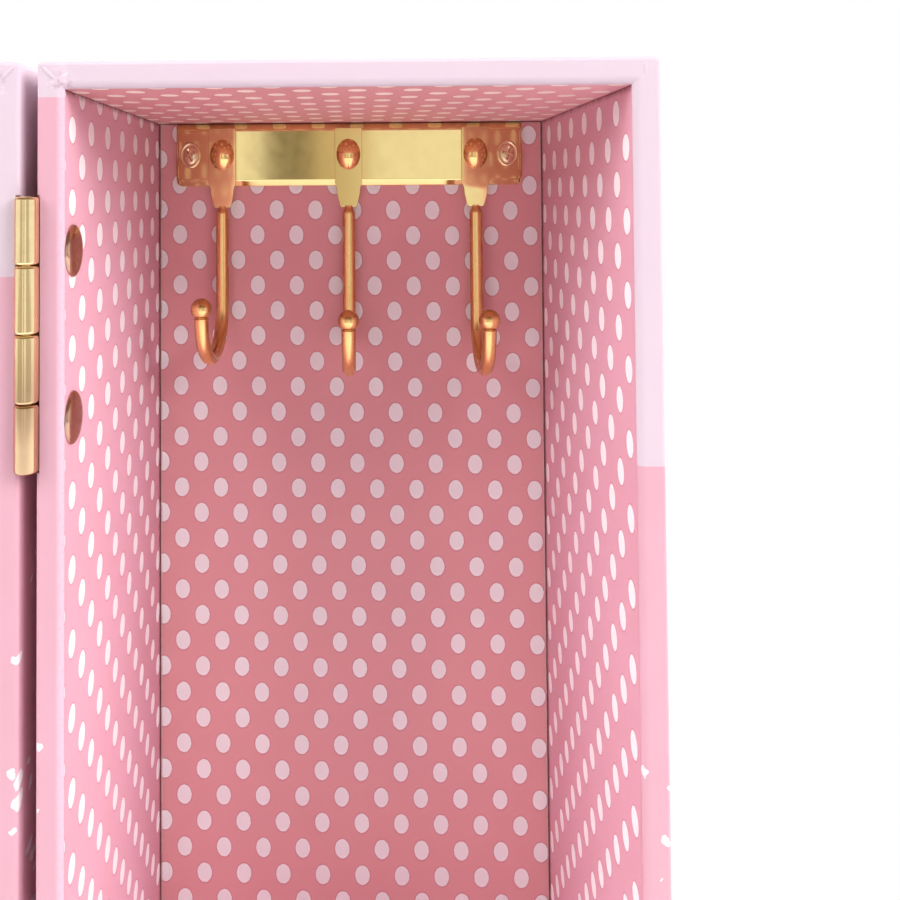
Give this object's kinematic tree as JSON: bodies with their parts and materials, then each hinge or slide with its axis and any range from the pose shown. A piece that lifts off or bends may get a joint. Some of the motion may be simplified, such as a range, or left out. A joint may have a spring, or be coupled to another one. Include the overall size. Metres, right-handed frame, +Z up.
{
  "type": "miniature wardrobe",
  "caption": "Book-opening dolls' wardrobe: two paper-covered board boxes on butt hinges, polka-dot lining, brass rail with coat hooks, and a side clasp.",
  "frame": {"origin": "middle of the opened pair at the level it stands on: the hinge axis in X, the middle of the depth in Y", "axes": "+Z up along the hinge pins, the open fronts face -Y, the half with the hooks is on the +X side"},
  "size_m": [0.31, 0.1018, 0.321],
  "materials": {
    "greyboard": "plain grey board, hidden under the papers",
    "wrap_paper": "satin printed wrapping paper, lilac above and pink below, small white specks",
    "lining_paper": "matt rose paper with pale dots",
    "brass": "polished, lacquered brass plate"
  },
  "bodies": {
    "right_case": {"right_back_board": "greyboard", "right_hinge_board": "greyboard", "right_clasp_board": "greyboard", "right_top_board": "greyboard", "right_bottom_board": "greyboard", "right_wrap": "wrap_paper", "right_base_paper": "wrap_paper", "right_back_lining": "lining_paper", "right_hinge_lining": "lining_paper", "right_clasp_lining": "lining_paper", "right_top_lining": "lining_paper", "right_bottom_lining": "lining_paper", "hook_rail": "brass", "left_hook": "brass", "middle_hook": "brass", "right_hook": "brass", "hook_rivets": "brass", "rail_screws": "brass", "upper_hinge_right_leaf": "brass", "upper_hinge_pin": "brass", "lower_hinge_right_leaf": "brass", "lower_hinge_pin": "brass", "right_hinge_rivets": "brass", "catch_plate": "brass", "catch_nails": "brass"},
    "left_case": {"left_back_board": "greyboard", "left_hinge_board": "greyboard", "left_clasp_board": "greyboard", "left_top_board": "greyboard", "left_bottom_board": "greyboard", "left_wrap": "wrap_paper", "left_base_paper": "wrap_paper", "left_back_lining": "lining_paper", "left_hinge_lining": "lining_paper", "left_clasp_lining": "lining_paper", "left_top_lining": "lining_paper", "left_bottom_lining": "lining_paper", "upper_hinge_left_leaf": "brass", "lower_hinge_left_leaf": "brass", "left_hinge_rivets": "brass", "clasp_base": "brass", "clasp_pin": "brass", "clasp_base_nails": "brass"},
    "hasp": {"clasp_hasp": "brass"}
  },
  "joints": [
    {"name": "case_fold", "type": "hinge", "parent": "right_case", "child": "left_case", "pos_m": [0, -0.04797, 0.1605], "axis": [0, 0, 1], "range_deg": [0, 180]},
    {"name": "hasp_swing", "type": "hinge", "parent": "left_case", "child": "hasp", "pos_m": [-0.1537, -0.03873, 0.1605], "axis": [0, 0, 1], "range_deg": [0, 180]}
  ]
}
